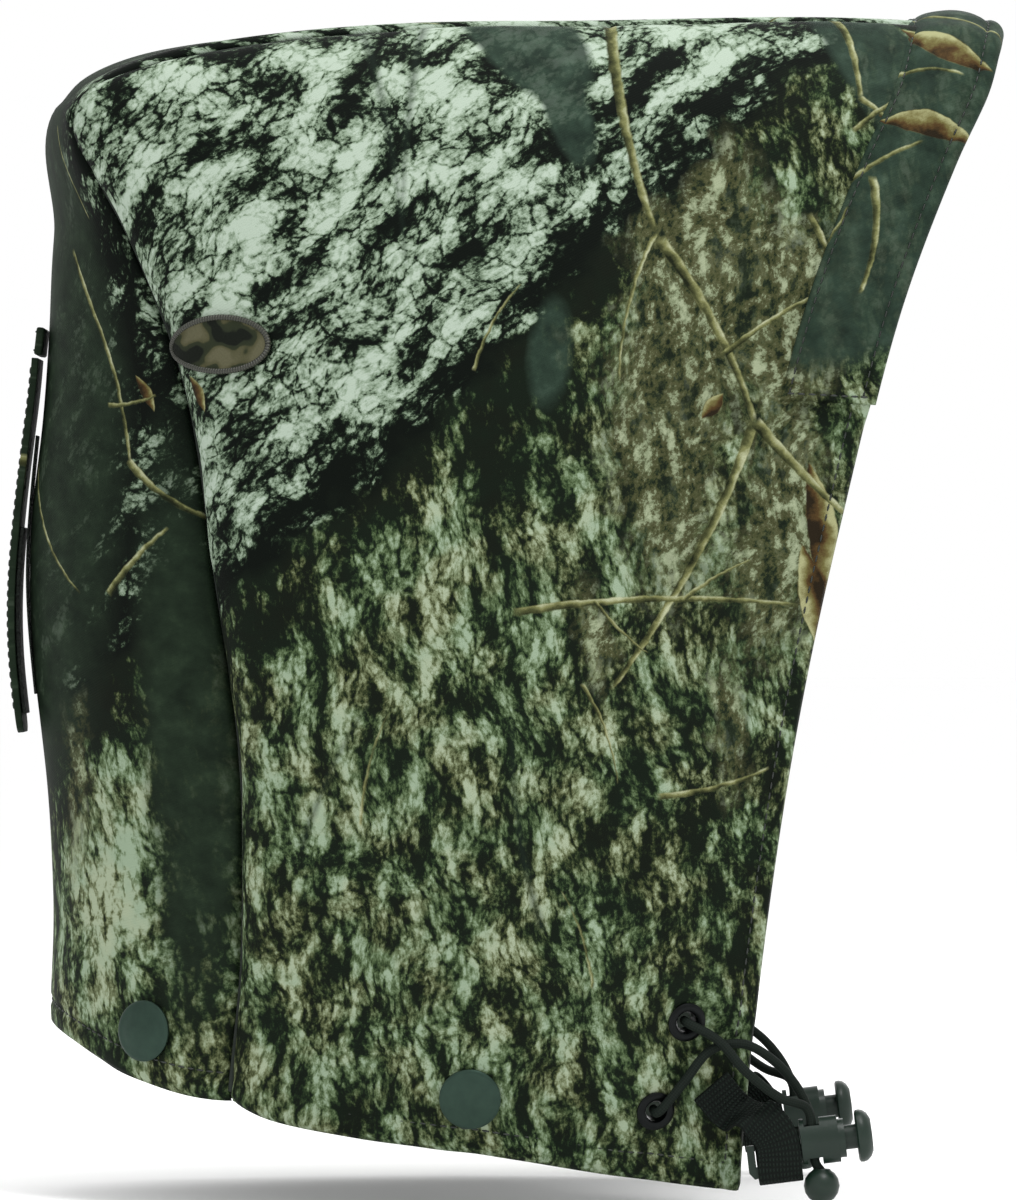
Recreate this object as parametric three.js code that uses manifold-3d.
// Detachable three-panel field hood with a stiffened visor, snap fasteners, elastic cords and cord locks.
// Frame: the wearer faces -Y and stands along +Z, the wearer's right is -X, units are millimetres.
// The origin is the centre of the neck opening, level with the lowest points of the hem.
import * as THREE from 'three';
import Module from 'manifold-3d';
import { mergeVertices } from 'three/addons/utils/BufferGeometryUtils.js';

const wasm = await Module();
wasm.setup();

// ---- Driving dimensions -------------------------------------------------------------------------
const HEIGHT = 372; // lowest hem point to the crest
const CROWN_HALF_WIDTH = 60; // centreline to the seam at the crown corner
const NECK_HALF_WIDTH = 76; // centreline to the seam at the hem
const SIDE_BULGE = 40; // how far the side panel rounds out past a straight cloth
const TOP_ARCH = 3; // rise of the centre panel over the top
const CROWN_ARCH = 7; // how far it stands out at the crown corner
const BACK_ARCH = 60; // depth of the centre panel behind its seams
const BACK_BELLY = 6.5; // how much further it stands back midway down
const BACK_HEM_RISE = 21; // how much the hem rises from the seam to the back centre

const OUTER_CLOTH = 1.2;
const LINING_CLOTH = 0.8;
const FACING_CLOTH = 0.8;
const CLEARANCE = 0.4; // between two layers of cloth
const SEAM_GAP = 0.2; // taken off each panel at a seam
const LINING_SETBACK = 1.0; // the lining stops short of the face edge and the hem

const CASING_WIDTH = 28; // visor band, face edge to rear stitch
const CHANNEL_WIDTH = 14; // facing along the face edge
const HEM_WIDTH = 9; // facing along the hem
const VISOR_PUFF = 2.3; // how far the visor band stands off the cloth
const STIFFENER = 1.1;

const EYELET_WALL = 0.7;
const CAP_R = 9.7;
const CAP_HEIGHT = 2.6;
const POST_R = 2.0;
const SOCKET_R = 6.4;
const SOCKET_HEIGHT = 3.0;
const HARDWARE_GAP = 0.8; // stand-off that clears the curve of the cloth

const UPPER_EYELET = { fromFace: 23, aboveHem: 52 };
const LOWER_EYELET = { fromFace: 30, aboveHem: 23 };
const SIDE_SNAP = { fromFace: 87, aboveHem: 18 };
const BACK_SNAP = { across: 0.14, aboveHem: 17 }; // share of the way from the right seam to the left one
const STRAP_END = { fromFace: 13, aboveHem: 33 };

const CORD_R = 1.5;
const BALL_R = 5.7;
const EYELET_HOLE_R = CORD_R + 1.7;
const EYELET_OUTER_R = EYELET_HOLE_R + 3.1;

const BADGE_HALF_LENGTH = 19.2;
const BADGE_HALF_HEIGHT = 8.8;
const BADGE_FROM_SEAM = 21;
const BADGE_ABOVE_HEM = 239;
const BADGE_THICKNESS = 0.9;
const BADGE_STANDOFF = 0.9; // clears the folds between the cloth's facets, as does the next
const LOOP_STANDOFF = 0.8;

const TAB_WIDTH = 34;
const TAB_THICKNESS = 2.2;
const TAB_TOP_Z = 268;
const TAB_BOTTOM_Z = 146;
const TAB_STANDOFF = 3.5; // how far the lower end stands off the hood
const TAB_ANCHOR_HEIGHT = 9; // the sewn end above the free flap
const PATCH_WIDTH = 26;
const HOOK_PATCH_LENGTH = 60;
const LOOP_PATCH_LENGTH = 84;
const PATCH_THICKNESS = 1.2;
const HOOK_PATCH_ABOVE_END = 6; // from the tab's free end
const LOOP_PATCH_BELOW_TOP = 26; // from the tab's sewn end

const LOCK_X = -89; // barrel centre of the right cord lock
const LOCK_Y = -134;
const LOCK_Z = 17.5;
const LOCK_TILT = THREE.MathUtils.degToRad(7);
const BARREL_LENGTH = 12;
const BARREL_HEIGHT = 15;
const BARREL_DEPTH = 10.5;
const FRAME_DEPTH = 4.4; // strap frame, and the bar that the webbing goes round
const STRAP_WIDTH = 14;
const STRAP_THICKNESS = 1.2;
const BAR_HEIGHT = 3.6;
const ARM_WIDTH = 2.4;
const STRAP_SLACK = 1; // between the bar and the webbing round it
const STRAP_LIFT = 0.05 * STRAP_WIDTH; // clears the curve of the cloth under the strap's width
const BORE_R = 4.4;
const BORE_DEPTH = 7;
const STEM_R = 3.9;
const HEAD_R = 8.4;
const HEAD_LENGTH = 5.2;
const PRESS_TRAVEL = 3.4;
const STEM_ENGAGED = 1.4; // length of stem inside the collar at rest
const COLLAR_R = 6.2;
const COLLAR_LENGTH = 2;
const SPRING_R = 2.6;
const SPRING_WIRE_R = 0.4;

// ---- Small helpers ------------------------------------------------------------------------------
const V = (x, y, z) => new THREE.Vector3(x, y, z);
const lerp = THREE.MathUtils.lerp;
const clamp01 = (t) => Math.min(1, Math.max(0, t));
const smooth = (t) => clamp01(t) ** 2 * (3 - 2 * clamp01(t));
const curve = (points) => new THREE.CatmullRomCurve3(points, false, 'centripetal');

function closedGeometry(positions, triangles) {
  // Orders every triangle so that the faces point out of a closed body.
  let volume = 0;
  for (const [a, b, c] of triangles) {
    volume += positions[a].dot(positions[b].clone().cross(positions[c]));
  }
  const ordered = volume > 0 ? triangles : triangles.map(([a, b, c]) => [a, c, b]);
  const geometry = new THREE.BufferGeometry();
  const numbers = positions.flatMap((p) => p.toArray());
  geometry.setAttribute('position', new THREE.Float32BufferAttribute(numbers, 3));
  geometry.setIndex(ordered.flat());
  return geometry;
}

function toManifold(geometry) {
  const bare = geometry.clone();
  bare.deleteAttribute('normal');
  bare.deleteAttribute('uv');
  const merged = mergeVertices(bare, 1e-4);
  return new wasm.Manifold(new wasm.Mesh({
    numProp: 3,
    vertProperties: new Float32Array(merged.attributes.position.array),
    triVerts: new Uint32Array(merged.index.array),
  }));
}

function fromManifold(solid) {
  const mesh = solid.getMesh();
  const geometry = new THREE.BufferGeometry();
  geometry.setAttribute('position', new THREE.BufferAttribute(new Float32Array(mesh.vertProperties), 3));
  geometry.setIndex(new THREE.BufferAttribute(new Uint32Array(mesh.triVerts), 1));
  return geometry;
}

const cut = (body, tools) => (
  fromManifold(tools.reduce((solid, tool) => solid.subtract(toManifold(tool)), toManifold(body)))
);
const join = (body, others) => (
  fromManifold(others.reduce((solid, other) => solid.add(toManifold(other)), toManifold(body)))
);

// A turned piece: profile points are [radius, height], listed counter-clockwise, and the axis is +Z.
function turned(profile, segments = 20) {
  const points = profile.map(([r, h]) => new THREE.Vector2(r, h));
  const geometry = new THREE.LatheGeometry(points, segments);
  return geometry.rotateX(Math.PI / 2);
}

// ---- Outline of one side panel, drawn with +X for the half-width ---------------------------------
const crown = V(CROWN_HALF_WIDTH, 106, HEIGHT - 29);
const faceTop = V(CROWN_HALF_WIDTH - 4, -190, HEIGHT - 1.5);
const hemBack = V(NECK_HALF_WIDTH, 56, 29);
const hemFront = V(80, -107, 0);

const topEdge = curve([
  faceTop,
  V(CROWN_HALF_WIDTH - 2, -136, HEIGHT + 1),
  V(CROWN_HALF_WIDTH, -62, HEIGHT),
  V(CROWN_HALF_WIDTH, 2, HEIGHT - 1),
  V(CROWN_HALF_WIDTH, 50, HEIGHT - 5.5),
  V(CROWN_HALF_WIDTH, 82, HEIGHT - 12.5),
  V(CROWN_HALF_WIDTH, 99, HEIGHT - 21),
  crown,
]);
const backSeam = curve([
  crown,
  V(CROWN_HALF_WIDTH + 1, 101.5, 330),
  V(CROWN_HALF_WIDTH + 4, 88, 304),
  V(CROWN_HALF_WIDTH + 9, 71, 259),
  V(NECK_HALF_WIDTH - 3, 61, 195),
  V(NECK_HALF_WIDTH, 53, 138),
  V(NECK_HALF_WIDTH, 52, 75),
  hemBack,
]);
const faceEdge = curve([
  faceTop,
  V(CROWN_HALF_WIDTH + 12, -188, 364),
  V(CROWN_HALF_WIDTH + 22, -184, 350),
  V(89, -173, 326),
  V(95, -156, 281),
  V(96, -140.5, 221),
  V(95, -127, 159),
  V(90, -116.5, 93),
  V(83, -108.5, 22),
  hemFront,
]);
const hem = curve([hemFront, V(89, -62, 6), V(93, -25, 12), V(89, 16, 17), V(82, 42, 22.5), hemBack]);

const ROWS = 12; // down the side panel
const COLUMNS = 9; // from the face edge to the back seam
const VISOR_ROWS = 4; // the visor band ends at this row
const VISOR_END = 0.36; // share of the face edge that the visor band runs along
const ACROSS = 8; // over the centre panel
const faceLength = faceEdge.getLength();
const seamLength = backSeam.getLength();

function shareAtRow(row) {
  // Share of the way down, with closer rows where the cloth turns over the crest.
  const hemShare = 1 - HEM_WIDTH / faceLength;
  if (row <= VISOR_ROWS) return VISOR_END * (row / VISOR_ROWS) ** 1.5;
  if (row < ROWS) return lerp(VISOR_END, hemShare, (row - VISOR_ROWS) / (ROWS - 1 - VISOR_ROWS));
  return 1;
}

function coons(a, b) {
  const front = faceEdge.getPointAt(b);
  const back = backSeam.getPointAt(b);
  const top = topEdge.getPointAt(a);
  const bottom = hem.getPointAt(a);
  const corners = faceTop.clone().lerp(crown, a).lerp(hemFront.clone().lerp(hemBack, a), b);
  return front.lerp(back, a).add(top.lerp(bottom, b)).sub(corners);
}

function sidePoint(a, b) {
  // The side panel rounds out quickly below the crest and close to the back seam.
  const down = (b ** 0.4 * (1 - b) ** 0.8) / 0.465;
  const along = Math.sqrt(1 - a ** 3) - (1 - a);
  const point = coons(a, b);
  point.x = -(point.x + SIDE_BULGE * down * along);
  return point;
}

function shareAtColumn(column, b) {
  const rowLength = faceEdge.getPointAt(b).distanceTo(backSeam.getPointAt(b));
  if (column <= 2) return (column * CHANNEL_WIDTH) / rowLength;
  const start = CASING_WIDTH / rowLength;
  return start + (1 - start) * ((column - 2) / (COLUMNS - 2)) ** 0.9;
}

function centrePoint(step, share) {
  // step runs along the top edge and then down the back seam; share 0 is the right seam, 1 the left one.
  const onTop = step <= COLUMNS;
  const b = onTop ? 0 : shareAtRow(step - COLUMNS);
  const seam = onTop ? topEdge.getPointAt(shareAtColumn(step, 0)) : backSeam.getPointAt(b);
  const corner = onTop ? smooth((shareAtColumn(step, 0) - 0.65) / 0.35) : 1 - smooth(b / 0.12);
  const back = BACK_ARCH * Math.sin((Math.PI / 2) * Math.min(1, (b / 0.7) ** 0.8));
  const belly = BACK_BELLY * Math.sin(Math.PI * b) ** 0.6;
  const depth = CROWN_ARCH * corner + back + belly;
  const top = onTop ? TOP_ARCH : TOP_ARCH * corner;
  const rise = top + (CROWN_ARCH - TOP_ARCH) * corner;
  const hemRise = BACK_HEM_RISE * smooth((b - 0.4) / 0.6);
  const widest = THREE.MathUtils.degToRad(72);
  const angle = (share * 2 - 1) * widest;
  const lift = (Math.cos(angle) - Math.cos(widest)) / (1 - Math.cos(widest));
  const x = (seam.x * Math.sin(angle)) / Math.sin(widest);
  return V(x, seam.y + depth * lift, seam.z + rise * lift + hemRise * lift ** 1.8);
}

// ---- The faceted outer face of the hood, with one normal at each point ---------------------------
const range = (n) => [...Array(n + 1).keys()];
const side = range(ROWS).map((row) => range(COLUMNS).map((column) => {
  const b = shareAtRow(row);
  return { p: sidePoint(Math.min(1, shareAtColumn(column, b)), b), n: V(0, 0, 0) };
}));
const centre = range(COLUMNS + ROWS).map((step) => range(ACROSS).map((k) => {
  if (k === 0) return step <= COLUMNS ? side[0][step] : side[step - COLUMNS][COLUMNS];
  return { p: centrePoint(step, k / ACROSS), n: V(0, 0, 0) };
}));

function addNormals(grid, inside) {
  for (let r = 0; r + 1 < grid.length; r += 1) {
    for (let c = 0; c + 1 < grid[r].length; c += 1) {
      const corners = [grid[r][c], grid[r][c + 1], grid[r + 1][c + 1], grid[r + 1][c]];
      const across = corners[2].p.clone().sub(corners[0].p);
      const normal = across.cross(corners[3].p.clone().sub(corners[1].p)).normalize();
      const middle = corners[0].p.clone().add(corners[2].p).multiplyScalar(0.5);
      if (normal.dot(middle.sub(inside)) < 0) normal.negate();
      corners.forEach((corner) => corner.n.add(normal));
    }
  }
}
const INSIDE = V(0, -10, 190);
addNormals(side, INSIDE);
addNormals(centre, INSIDE);
[...side, ...centre].flat().forEach((sample) => sample.n.normalize());
centre.forEach((row) => {
  // The left seam and the left half mirror the right, so that the two halves agree.
  for (let k = 0; k <= ACROSS / 2; k += 1) {
    const twin = row[ACROSS - k];
    twin.p = row[k].p.clone().multiply(V(-1, 1, 1));
    twin.n = row[k].n.clone().multiply(V(-1, 1, 1));
  }
  row[ACROSS / 2].n.x = 0;
  row[ACROSS / 2].p.x = 0;
  row[ACROSS / 2].n.normalize();
});

const blend = (one, other, t) => ({
  p: one.p.clone().lerp(other.p, t),
  n: one.n.clone().lerp(other.n, t).normalize(),
});

function sampleGrid(grid, r, c) {
  const r0 = Math.min(grid.length - 2, Math.floor(r));
  const c0 = Math.min(grid[0].length - 2, Math.floor(c));
  const upper = blend(grid[r0][c0], grid[r0][c0 + 1], c - c0);
  const lower = blend(grid[r0 + 1][c0], grid[r0 + 1][c0 + 1], c - c0);
  return blend(upper, lower, r - r0);
}

function invert(values, wanted) {
  let k = 0;
  while (k + 2 < values.length && values[k + 1] < wanted) k += 1;
  return k + (wanted - values[k]) / (values[k + 1] - values[k]);
}

// The cloth at a distance back from the face edge and a height above the hem.
function onSide(fromFace, aboveHem) {
  const rowLengthAt = (b) => faceEdge.getPointAt(b).distanceTo(backSeam.getPointAt(b));
  let share = 0.5;
  let b = 1;
  for (let pass = 0; pass < 3; pass += 1) {
    b = clamp01(1 - aboveHem / lerp(faceLength, seamLength, share));
    share = fromFace / rowLengthAt(b);
  }
  const row = invert(range(ROWS).map(shareAtRow), b);
  const column = invert(range(COLUMNS).map((c) => shareAtColumn(c, b)), share);
  return sampleGrid(side, row, column);
}

function onCentre(across, aboveHem) {
  const b = 1 - aboveHem / seamLength;
  return sampleGrid(centre, COLUMNS + invert(range(ROWS).map(shareAtRow), b), across * ACROSS);
}

// ---- Cloth layers --------------------------------------------------------------------------------
const value = (thing, r, c) => (typeof thing === 'function' ? thing(r, c) : thing);
const shifted = (sample, distance) => sample.p.clone().addScaledVector(sample.n, distance);

// A closed sheet between two distances from the outer face, positive being outwards.
function sheet(rows, outer, inner) {
  const width = rows[0].length;
  const positions = [];
  for (const distance of [outer, inner]) {
    rows.forEach((row, r) => row.forEach((sample, c) => {
      positions.push(shifted(sample, value(distance, r, c)));
    }));
  }
  const half = rows.length * width;
  const at = (r, c, under) => r * width + c + (under ? half : 0);
  const triangles = [];
  const quad = (a, b, c, d) => triangles.push([a, b, c], [a, c, d]);
  for (let r = 0; r + 1 < rows.length; r += 1) {
    for (let c = 0; c + 1 < width; c += 1) {
      quad(at(r, c), at(r, c + 1), at(r + 1, c + 1), at(r + 1, c));
      quad(at(r + 1, c + 1, true), at(r, c + 1, true), at(r, c, true), at(r + 1, c, true));
    }
    quad(at(r, 0), at(r + 1, 0), at(r + 1, 0, true), at(r, 0, true));
    quad(at(r + 1, width - 1), at(r, width - 1), at(r, width - 1, true), at(r + 1, width - 1, true));
  }
  const last = rows.length - 1;
  for (let c = 0; c + 1 < width; c += 1) {
    quad(at(0, c + 1), at(0, c), at(0, c, true), at(0, c + 1, true));
    quad(at(last, c), at(last, c + 1), at(last, c + 1, true), at(last, c, true));
  }
  return closedGeometry(positions, triangles);
}

// Pulls the four borders of a grid in by a distance each.
function trim(rows, { first = 0, last = 0, left = 0, right = 0 }) {
  const toward = (sample, neighbour, distance) => (
    distance ? blend(sample, neighbour, distance / sample.p.distanceTo(neighbour.p)) : sample
  );
  const columns = rows.map((row) => {
    const copy = [...row];
    copy[0] = toward(row[0], row[1], left);
    copy[row.length - 1] = toward(row[row.length - 1], row[row.length - 2], right);
    return copy;
  });
  const result = [...columns];
  const end = columns.length - 1;
  result[0] = columns[0].map((sample, c) => toward(sample, columns[1][c], first));
  result[end] = columns[end].map((sample, c) => toward(sample, columns[end - 1][c], last));
  return result;
}

const block = (grid, r0, r1, c0, c1) => grid.slice(r0, r1 + 1).map((row) => row.slice(c0, c1 + 1));

const LINING_OUT = -(OUTER_CLOTH + CLEARANCE);
const LINING_IN = LINING_OUT - LINING_CLOTH;
const FACING_OUT = LINING_IN - CLEARANCE;
const FACING_IN = FACING_OUT - FACING_CLOTH;

// A straight tool along the normal at a spot, for holes through the cloth.
function holeTool(spot, radius) {
  const tool = new THREE.CylinderGeometry(radius, radius, 16, 16).rotateX(Math.PI / 2);
  return tool.applyMatrix4(spotMatrix(spot));
}

function spotMatrix(spot) {
  const turn = new THREE.Quaternion().setFromUnitVectors(V(0, 0, 1), spot.n);
  return new THREE.Matrix4().compose(spot.p, turn, V(1, 1, 1));
}

const mirrored = ({ p, n }) => ({ p: p.clone().multiply(V(-1, 1, 1)), n: n.clone().multiply(V(-1, 1, 1)) });
const upperEyelet = onSide(UPPER_EYELET.fromFace, UPPER_EYELET.aboveHem);
const lowerEyelet = onSide(LOWER_EYELET.fromFace, LOWER_EYELET.aboveHem);
const sideSnap = onSide(SIDE_SNAP.fromFace, SIDE_SNAP.aboveHem);
const backSnap = onCentre(BACK_SNAP.across, BACK_SNAP.aboveHem);
const postHole = POST_R + CLEARANCE + 0.1;
const barrelHole = EYELET_HOLE_R + EYELET_WALL + CLEARANCE;
const sideHoles = () => [
  holeTool(upperEyelet, barrelHole),
  holeTool(lowerEyelet, barrelHole),
  holeTool(sideSnap, postHole),
];
const centreHoles = () => [holeTool(backSnap, postHole), holeTool(mirrored(backSnap), postHole)];

function sidePanel() {
  return cut(sheet(trim(side, { first: SEAM_GAP, right: SEAM_GAP }), 0, -OUTER_CLOTH), sideHoles());
}

function centrePanel() {
  return cut(sheet(trim(centre, { left: SEAM_GAP, right: SEAM_GAP }), 0, -OUTER_CLOTH), centreHoles());
}

function sideLining() {
  const edges = { first: SEAM_GAP, last: LINING_SETBACK, left: LINING_SETBACK, right: SEAM_GAP };
  return cut(sheet(trim(side, edges), LINING_OUT, LINING_IN), sideHoles());
}

function centreLining() {
  const edges = { first: LINING_SETBACK, last: LINING_SETBACK, left: SEAM_GAP, right: SEAM_GAP };
  return cut(sheet(trim(centre, edges), LINING_OUT, LINING_IN), centreHoles());
}

function faceFacing() {
  const rows = block(side, VISOR_ROWS, ROWS - 1, 0, 1);
  return sheet(trim(rows, { first: 0.5, last: 0.5, left: LINING_SETBACK }), FACING_OUT, FACING_IN);
}

function visorFacing() {
  return sheet(trim(visorRows(1), { first: 0.5, last: 0.5, left: LINING_SETBACK }), FACING_OUT, FACING_IN);
}

function sideHemFacing() {
  const rows = block(side, ROWS - 1, ROWS, 0, COLUMNS);
  const edges = { last: LINING_SETBACK, left: LINING_SETBACK, right: SEAM_GAP };
  return sheet(trim(rows, edges), FACING_OUT, FACING_IN);
}

function centreHemFacing() {
  const rows = block(centre, COLUMNS + ROWS - 1, COLUMNS + ROWS, 0, ACROSS);
  return sheet(trim(rows, { last: LINING_SETBACK, left: SEAM_GAP, right: SEAM_GAP }), FACING_OUT, FACING_IN);
}

// Stations round the brim from the right end of the visor band to the left end; each row runs back from
// the face edge, with `cells` grid cells of width.
function visorRows(cells) {
  const right = range(VISOR_ROWS).reverse().map((row) => side[row].slice(0, cells + 1));
  const over = range(ACROSS - 2).map((k) => range(cells).map((step) => centre[step][k + 1]));
  const left = range(VISOR_ROWS).map((row) => side[row].slice(0, cells + 1).map(mirrored));
  return [...right, ...over, ...left];
}

function across(rows, shares) {
  // Resamples rows of three samples at shares of the width, staying on their facets.
  return rows.map((row) => shares.map((share) => {
    const t = share * 2;
    return t <= 1 ? blend(row[0], row[1], t) : blend(row[1], row[2], t - 1);
  }));
}

function visorCasing() {
  const shares = [0, 0.2, 0.5, 0.8, 1];
  const puff = shares.map((share) => VISOR_PUFF * Math.sin(Math.PI * share) ** 0.6);
  const inner = (r, c) => CLEARANCE + puff[c];
  return sheet(across(visorRows(2), shares), (r, c) => inner(r, c) + OUTER_CLOTH, inner);
}

function visorStiffener() {
  const shares = [0.2, 0.5, 0.8];
  const rows = trim(across(visorRows(2), shares), { first: 4, last: 4 });
  return sheet(rows, CLEARANCE + STIFFENER, CLEARANCE);
}

// ---- Oval badge, following the cloth -------------------------------------------------------------
function ovalBadge() {
  const rings = 3;
  const around = 24;
  const rowLength = (z) => {
    const b = clamp01(1 - z / seamLength);
    return faceEdge.getPointAt(b).distanceTo(backSeam.getPointAt(b));
  };
  const spot = (u, v) => {
    const height = BADGE_ABOVE_HEM + v;
    return onSide(rowLength(height) - BADGE_FROM_SEAM + u, height);
  };
  const samples = [spot(0, 0)];
  for (let ring = 1; ring <= rings; ring += 1) {
    for (let k = 0; k < around; k += 1) {
      const angle = (2 * Math.PI * k) / around;
      const u = (BADGE_HALF_LENGTH * ring * Math.cos(angle)) / rings;
      samples.push(spot(u, (BADGE_HALF_HEIGHT * ring * Math.sin(angle)) / rings));
    }
  }
  const count = samples.length;
  const top = samples.map((sample) => shifted(sample, BADGE_STANDOFF + BADGE_THICKNESS));
  const positions = [...top, ...samples.map((sample) => shifted(sample, BADGE_STANDOFF))];
  const at = (ring, k) => 1 + (ring - 1) * around + (k % around);
  const triangles = [];
  for (let k = 0; k < around; k += 1) {
    triangles.push([0, at(1, k), at(1, k + 1)], [count, count + at(1, k + 1), count + at(1, k)]);
    for (let ring = 1; ring < rings; ring += 1) {
      const [a, b, c, d] = [at(ring, k), at(ring + 1, k), at(ring + 1, k + 1), at(ring, k + 1)];
      const under = [a, b, c, d].map((k2) => count + k2);
      triangles.push([a, b, c], [a, c, d]);
      triangles.push([under[0], under[2], under[1]], [under[0], under[3], under[2]]);
    }
    const [a, b] = [at(rings, k), at(rings, k + 1)];
    triangles.push([a, count + a, count + b], [a, count + b, b]);
  }
  return closedGeometry(positions, triangles);
}

// ---- Snap fasteners and eyelets, turned about the normal of the cloth ----------------------------
function snapCap() {
  const under = HARDWARE_GAP;
  const tip = LINING_IN - HARDWARE_GAP - SOCKET_HEIGHT * 0.6;
  return turned([
    [0, tip],
    [POST_R, tip],
    [POST_R, under],
    [CAP_R, under],
    [CAP_R, under + 0.9],
    [CAP_R * 0.75, under + CAP_HEIGHT * 0.8],
    [0, under + CAP_HEIGHT],
  ], 20);
}

function snapSocket() {
  const top = LINING_IN - HARDWARE_GAP;
  const bore = POST_R + 0.4;
  return turned([
    [bore, top],
    [bore, top - SOCKET_HEIGHT],
    [SOCKET_R * 0.78, top - SOCKET_HEIGHT],
    [SOCKET_R, top - 1],
    [SOCKET_R, top],
    [bore, top],
  ], 16);
}

function eyelet() {
  const under = HARDWARE_GAP * 0.6;
  const end = LINING_IN - HARDWARE_GAP - 1.2;
  const wall = EYELET_HOLE_R + EYELET_WALL;
  return turned([
    [EYELET_HOLE_R, end],
    [wall, end],
    [wall, under],
    [EYELET_OUTER_R, under],
    [EYELET_OUTER_R, under + 0.5],
    [EYELET_OUTER_R - 1, under + 1.3],
    [EYELET_HOLE_R, under + 1.1],
    [EYELET_HOLE_R, end],
  ], 18);
}

function eyeletWasher() {
  const top = LINING_IN - HARDWARE_GAP * 0.6;
  const bore = EYELET_HOLE_R + EYELET_WALL + 0.3;
  return turned([
    [bore, top],
    [bore, top - 0.8],
    [EYELET_OUTER_R, top - 0.8],
    [EYELET_OUTER_R, top],
    [bore, top],
  ], 18);
}

// ---- Rear adjuster tab ---------------------------------------------------------------------------
const backLine = (z) => {
  // Point of the back centreline at a height.
  const column = centre.slice(COLUMNS).map((row) => row[ACROSS / 2]);
  let k = 0;
  while (k + 2 < column.length && column[k + 1].p.z > z) k += 1;
  return blend(column[k], column[k + 1], (column[k].p.z - z) / (column[k].p.z - column[k + 1].p.z));
};

function backStrip(topZ, bottomZ, width, outer, inner, steps) {
  // A strip flat across its width that runs down the back centreline.
  const rows = range(steps).map((k) => {
    const sample = backLine(lerp(topZ, bottomZ, k / steps));
    return [-width / 2, width / 2].map((x) => ({ p: V(x, sample.p.y, sample.p.z), n: sample.n }));
  });
  return sheet(rows, outer, inner);
}

const TAB_STEPS = 8;
const tabStand = (share) => 2 * CLEARANCE + PATCH_THICKNESS + TAB_STANDOFF * smooth(share * 1.15);
const tabShare = (z) => (TAB_TOP_Z - z) / (TAB_TOP_Z - TAB_BOTTOM_Z);

function rearTab() {
  const outer = (r) => tabStand(r / TAB_STEPS) + TAB_THICKNESS;
  return backStrip(TAB_TOP_Z - 1, TAB_BOTTOM_Z, TAB_WIDTH, outer, (r) => tabStand(r / TAB_STEPS), TAB_STEPS);
}

function rearTabAnchor() {
  // The sewn end of the tab: a folded block of cloth above the free flap.
  const top = tabStand(0) + TAB_THICKNESS;
  return backStrip(TAB_TOP_Z + TAB_ANCHOR_HEIGHT, TAB_TOP_Z, TAB_WIDTH, top, CLEARANCE, 2);
}

function loopPatch() {
  const top = TAB_TOP_Z - LOOP_PATCH_BELOW_TOP;
  const bottom = top - LOOP_PATCH_LENGTH;
  const outer = LOOP_STANDOFF + PATCH_THICKNESS * 0.6;
  return backStrip(top, bottom, PATCH_WIDTH * 0.5, outer, LOOP_STANDOFF, 8);
}

function hookPatch() {
  const bottom = TAB_BOTTOM_Z + HOOK_PATCH_ABOVE_END;
  const top = bottom + HOOK_PATCH_LENGTH;
  const steps = 4;
  const stand = (r) => tabStand(tabShare(lerp(top, bottom, r / steps))) - CLEARANCE;
  const inner = (r) => stand(r) - PATCH_THICKNESS;
  return backStrip(top, bottom, PATCH_WIDTH, stand, inner, steps);
}

// ---- Cord lock, in its own frame: X along the plunger, Z along the cords -------------------------
const lockFrame = new THREE.Matrix4().makeBasis(
  V(0, -Math.cos(LOCK_TILT), Math.sin(LOCK_TILT)),
  V(1, 0, 0),
  V(0, Math.sin(LOCK_TILT), Math.cos(LOCK_TILT)),
).setPosition(LOCK_X, LOCK_Y, LOCK_Z);
const inLock = (x, y, z) => V(x, y, z).applyMatrix4(lockFrame);

const BARREL_BACK = -BARREL_LENGTH * 0.7;
const BARREL_FRONT = BARREL_LENGTH * 0.3;
const SLOT_FRONT = BARREL_BACK - 0.2;
const SLOT_BACK = SLOT_FRONT - STRAP_WIDTH - 0.8;
const BAR_BOTTOM = -BARREL_HEIGHT / 2 - 2.2;
const CORD_SLOT_X = BARREL_BACK + 1.4; // the cord channel sits behind the plunger bore
const CORD_SLOT_LENGTH = 2 * CORD_R + 2;
const CORD_SLOT_DEPTH = 4 * CORD_R + 1.6;

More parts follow.
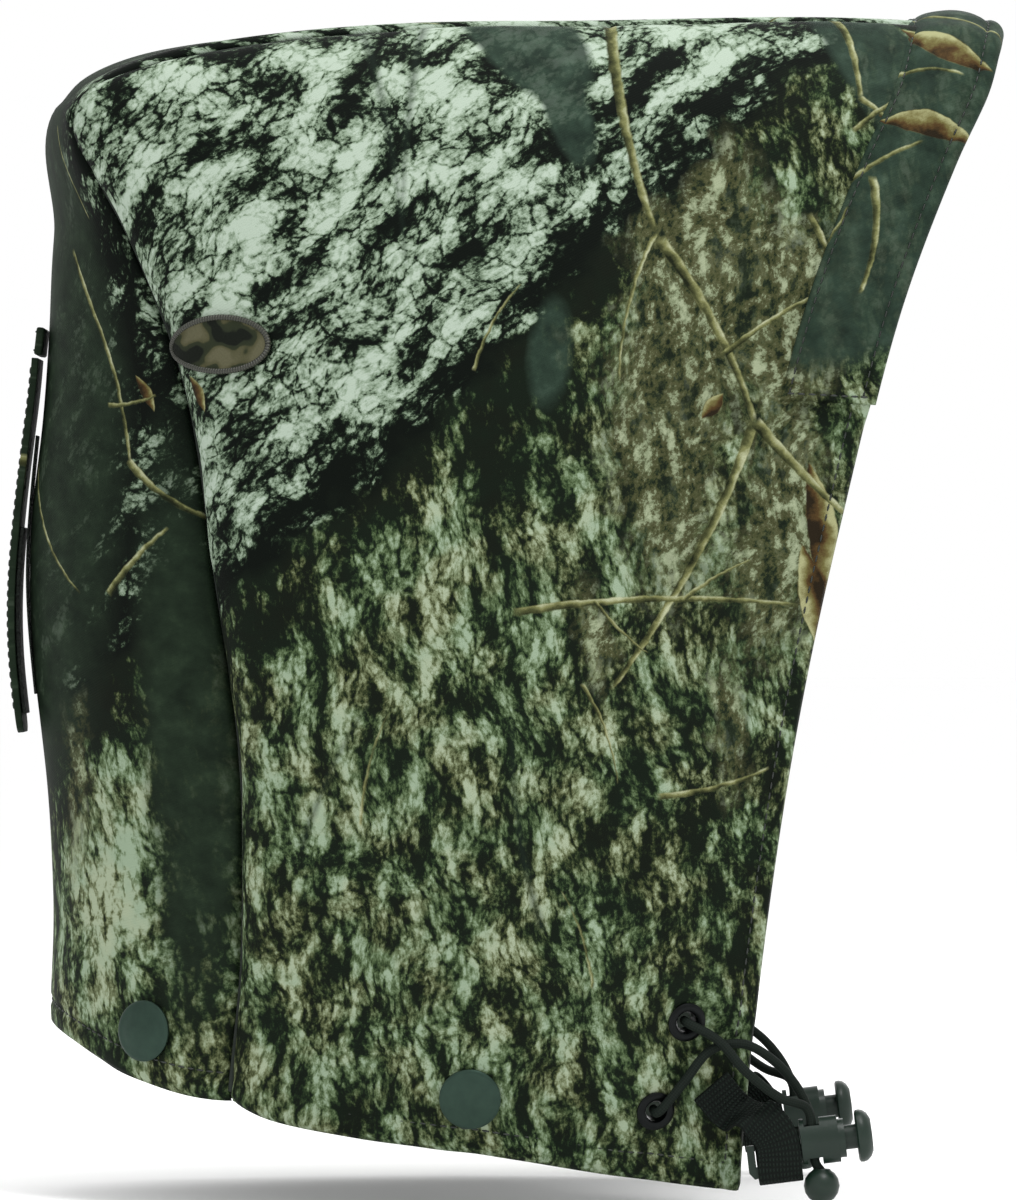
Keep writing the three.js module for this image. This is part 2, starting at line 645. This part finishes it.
function lockBody() {
  const plate = new THREE.Shape();
  const left = SLOT_BACK - ARM_WIDTH;
  plate.moveTo(left + 1.5, BAR_BOTTOM);
  plate.lineTo(BARREL_FRONT - 3, BAR_BOTTOM + 3.5);
  plate.lineTo(BARREL_FRONT - 1, 0);
  plate.lineTo(SLOT_FRONT, 0);
  plate.lineTo(SLOT_FRONT, BAR_BOTTOM + BAR_HEIGHT);
  plate.lineTo(SLOT_BACK, BAR_BOTTOM + BAR_HEIGHT);
  plate.lineTo(SLOT_BACK, 1);
  plate.lineTo(left, 1);
  plate.lineTo(left, BAR_BOTTOM + 2);
  const frame = new THREE.ExtrudeGeometry(plate, { depth: FRAME_DEPTH, bevelEnabled: false });
  frame.rotateX(Math.PI / 2).translate(0, FRAME_DEPTH / 2, 0);
  const barrelEnd = new THREE.Shape();
  barrelEnd.absellipse(0, 0, BARREL_HEIGHT / 2, BARREL_DEPTH / 2, 0, 2 * Math.PI);
  const extrude = { depth: BARREL_LENGTH, bevelEnabled: false, curveSegments: 20 };
  const barrel = new THREE.ExtrudeGeometry(barrelEnd, extrude);
  barrel.rotateY(Math.PI / 2).translate(BARREL_BACK, 0, 0);
  const collar = new THREE.CylinderGeometry(COLLAR_R, COLLAR_R, COLLAR_LENGTH * 2, 20).rotateZ(Math.PI / 2);
  collar.scale(1, (BARREL_DEPTH * 0.5 - 0.1) / COLLAR_R, 1).translate(BARREL_FRONT, 0, 0);
  const bore = new THREE.CylinderGeometry(BORE_R, BORE_R, BORE_DEPTH * 2, 20).rotateZ(Math.PI / 2);
  bore.translate(COLLAR_FACE, 0, 0);
  const channel = new THREE.BoxGeometry(CORD_SLOT_LENGTH, CORD_SLOT_DEPTH, BARREL_HEIGHT * 2);
  channel.translate(CORD_SLOT_X + CORD_SLOT_LENGTH / 2, 0, 0);
  return cut(join(frame, [barrel, collar]), [bore, channel]).applyMatrix4(lockFrame);
}

const COLLAR_FACE = BARREL_FRONT + COLLAR_LENGTH;
const STEM_END = COLLAR_FACE - STEM_ENGAGED;

function lockButton() {
  const headBase = COLLAR_FACE + PRESS_TRAVEL + CLEARANCE;
  return turned([
    [0, STEM_END],
    [STEM_R, STEM_END],
    [STEM_R, headBase],
    [HEAD_R, headBase],
    [HEAD_R, headBase + 1.6],
    [HEAD_R * 0.8, headBase + HEAD_LENGTH * 0.8],
    [0, headBase + HEAD_LENGTH],
  ], 20).rotateY(Math.PI / 2).scale(1, BARREL_DEPTH / BARREL_HEIGHT + 0.15, 1).applyMatrix4(lockFrame);
}

class Helix extends THREE.Curve {
  constructor(radius, start, length, turns) {
    super();
    Object.assign(this, { radius, start, length, turns });
  }

  getPoint(t, target = new THREE.Vector3()) {
    const angle = 2 * Math.PI * this.turns * t;
    const [y, z] = [this.radius * Math.cos(angle), this.radius * Math.sin(angle)];
    return target.set(this.start + this.length * t, y, z);
  }
}

function tube(path, radius, sides, steps) {
  const section = new THREE.Shape(range(sides - 1).map((k) => {
    const angle = (2 * Math.PI * k) / sides;
    return new THREE.Vector2(radius * Math.cos(angle), radius * Math.sin(angle));
  }));
  return new THREE.ExtrudeGeometry(section, { steps, extrudePath: path, bevelEnabled: false });
}

function lockSpring() {
  const start = COLLAR_FACE - BORE_DEPTH + SPRING_WIRE_R + CLEARANCE;
  const length = STEM_END - start - SPRING_WIRE_R - CLEARANCE;
  return tube(new Helix(SPRING_R, start, length, 3), SPRING_WIRE_R, 5, 30).applyMatrix4(lockFrame);
}

// ---- Webbing that ties the lock to the hood ------------------------------------------------------
const strapEnd = onSide(STRAP_END.fromFace, STRAP_END.aboveHem);

function strapPath() {
  // Centre line from the sewn end down the outer side, round the bar and up behind it.
  const middle = (SLOT_FRONT + SLOT_BACK) / 2;
  const reach = FRAME_DEPTH / 2 + STRAP_SLACK + STRAP_THICKNESS / 2;
  const barMiddle = BAR_BOTTOM + BAR_HEIGHT / 2;
  const turn = BAR_HEIGHT / 2 + STRAP_SLACK + STRAP_THICKNESS / 2;
  const points = [
    shifted(strapEnd, STRAP_LIFT + STRAP_THICKNESS / 2),
    shifted(onSide(STRAP_END.fromFace - 8, STRAP_END.aboveHem - 7), 2 * STRAP_LIFT + STRAP_THICKNESS / 2),
    inLock(middle - 5, -reach, 10),
    inLock(middle, -reach, 2),
    inLock(middle, -reach, barMiddle),
  ];
  for (const degrees of [45, 90, 135]) {
    const angle = THREE.MathUtils.degToRad(degrees);
    points.push(inLock(middle, -reach * Math.cos(angle), barMiddle - turn * Math.sin(angle)));
  }
  points.push(inLock(middle, reach, barMiddle), inLock(middle, reach, 4));
  return points;
}

function lockStrap() {
  const points = strapPath();
  const rows = points.map((p, k) => {
    const before = points[Math.max(0, k - 1)];
    const after = points[Math.min(points.length - 1, k + 1)];
    const along = after.clone().sub(before).normalize();
    const lengthwise = k < 2 ? V(0, -0.82, 0.57) : V(0, -Math.cos(LOCK_TILT), Math.sin(LOCK_TILT));
    const wide = lengthwise.addScaledVector(along, -lengthwise.dot(along)).normalize();
    const n = along.clone().cross(wide).normalize();
    return [-STRAP_WIDTH / 2, STRAP_WIDTH / 2].map((w) => ({ p: p.clone().addScaledVector(wide, w), n }));
  });
  return sheet(rows, STRAP_THICKNESS / 2, -STRAP_THICKNESS / 2);
}

// ---- Elastic cords: hand-placed runs from each eyelet into the lock, and the tails to the ball -----
const entry = (x, side) => inLock(CORD_SLOT_X + CORD_SLOT_LENGTH / 2, side, x);
const FAR = CORD_R + 0.25; // off the middle of the channel, towards the hood
const NEAR = -FAR; // the outer of the two strands
const LOCK_TOP = BARREL_HEIGHT / 2;

const cordUpper = [
  shifted(upperEyelet, -1.5),
  shifted(upperEyelet, 2.6),
  shifted(upperEyelet, 4.4).add(V(0, -8.6, -4.8)),
  V(-97.5, -108, 39.5),
  V(-95, -119, 31),
  V(-91, -127, 28),
  entry(LOCK_TOP + 1, NEAR),
  entry(LOCK_TOP - 3, NEAR),
  entry(1, NEAR),
];
const cordLower = [
  shifted(lowerEyelet, -1.5),
  shifted(lowerEyelet, 2.6),
  shifted(lowerEyelet, 3.4).add(V(0, -8.2, 10)),
  V(-92.8, -97, 46),
  V(-91.5, -107, 48),
  V(-88, -117, 42.5),
  V(-86, -124.5, 34),
  entry(LOCK_TOP + 1, FAR),
  entry(LOCK_TOP - 3, FAR),
  entry(1, FAR),
];
const BALL_FORWARD = 1.0; // the ball hangs a little ahead of the cord channel
const BALL_DROP = BARREL_HEIGHT / 2 + BALL_R + 1;
const ballCentre = inLock(CORD_SLOT_X + CORD_SLOT_LENGTH / 2 + BALL_FORWARD, 0, -BALL_DROP);

const cordTail = [
  entry(0.6, 0),
  entry(-7, 0),
  ballCentre.clone().add(V(0, 0, BALL_R * 0.9 + 1.1 * CORD_R)),
];

function cord(points, steps) {
  return tube(curve(points), CORD_R, 8, steps);
}

function cordBall() {
  // A moulded end that swallows both tails, with a flat where the cords go in.
  const flat = BALL_R * 0.9;
  const sphere = new THREE.SphereGeometry(BALL_R, 14, 9);
  const slab = new THREE.BoxGeometry(20, 20, 10).translate(0, 0, flat + 5);
  return cut(sphere.rotateX(Math.PI / 2), [slab]).translate(...ballCentre.toArray());
}

// ---- Materials -----------------------------------------------------------------------------------
const material = (color, roughness, metalness = 0) => (
  new THREE.MeshStandardMaterial({ color, roughness, metalness })
);
const camo = material(0x6a6a55, 0.85);
const liner = material(0x3c443c, 0.8);
const foam = material(0x2a2e2a, 0.9);
const gunmetal = material(0x4b5750, 0.35, 0.8);
const blackMetal = material(0x15191a, 0.4, 0.7);
const elastic = material(0x232d26, 0.75);
const plastic = material(0x2c3d33, 0.45);
const webbing = material(0x1f2a25, 0.85);
const steel = material(0xc8ccc8, 0.25, 1);
const hookTape = material(0x1b201d, 0.95);
const badgeCloth = material(0x4f5037, 0.8);

// ---- Assembly ------------------------------------------------------------------------------------
const hood = new THREE.Group();

function add(parent, name, geometry, look, matrix) {
  const mesh = new THREE.Mesh(geometry, look);
  mesh.name = name;
  if (matrix) mesh.applyMatrix4(matrix);
  parent.add(mesh);
}

function addSide(parent, hand) {
  add(parent, `${hand}_side_panel`, sidePanel(), camo);
  add(parent, `${hand}_side_lining`, sideLining(), liner);
  add(parent, `${hand}_face_facing`, faceFacing(), camo);
  add(parent, `${hand}_hem_facing`, sideHemFacing(), camo);
  for (const [place, spot] of [['side', sideSnap], ['back', backSnap]]) {
    add(parent, `${hand}_${place}_snap_cap`, snapCap(), gunmetal, spotMatrix(spot));
    add(parent, `${hand}_${place}_snap_socket`, snapSocket(), gunmetal, spotMatrix(spot));
  }
  for (const [place, spot] of [['upper', upperEyelet], ['lower', lowerEyelet]]) {
    add(parent, `${hand}_${place}_eyelet`, eyelet(), blackMetal, spotMatrix(spot));
    add(parent, `${hand}_${place}_eyelet_washer`, eyeletWasher(), blackMetal, spotMatrix(spot));
  }
  add(parent, `${hand}_lock_body`, lockBody(), plastic);
  add(parent, `${hand}_lock_button`, lockButton(), plastic);
  add(parent, `${hand}_lock_spring`, lockSpring(), steel);
  add(parent, `${hand}_lock_strap`, lockStrap(), webbing);
  add(parent, `${hand}_cord_upper`, cord(cordUpper, 26), elastic);
  add(parent, `${hand}_cord_lower`, cord(cordLower, 30), elastic);
  add(parent, `${hand}_cord_tail`, cord(cordTail, 6), elastic);
  add(parent, `${hand}_cord_ball`, cordBall(), plastic);
}

const leftSide = new THREE.Group();
leftSide.scale.x = -1;
hood.add(leftSide);
addSide(hood, 'right');
addSide(leftSide, 'left');

add(hood, 'centre_panel', centrePanel(), camo);
add(hood, 'centre_lining', centreLining(), liner);
add(hood, 'centre_hem_facing', centreHemFacing(), camo);
add(hood, 'visor_casing', visorCasing(), camo);
add(hood, 'visor_stiffener', visorStiffener(), foam);
add(hood, 'visor_facing', visorFacing(), camo);
add(hood, 'rear_tab', rearTab(), camo);
add(hood, 'rear_tab_anchor', rearTabAnchor(), camo);
add(hood, 'rear_tab_hook', hookPatch(), hookTape);
add(hood, 'rear_tab_loop', loopPatch(), hookTape);
add(hood, 'oval_badge', ovalBadge(), badgeCloth);

export default hood;
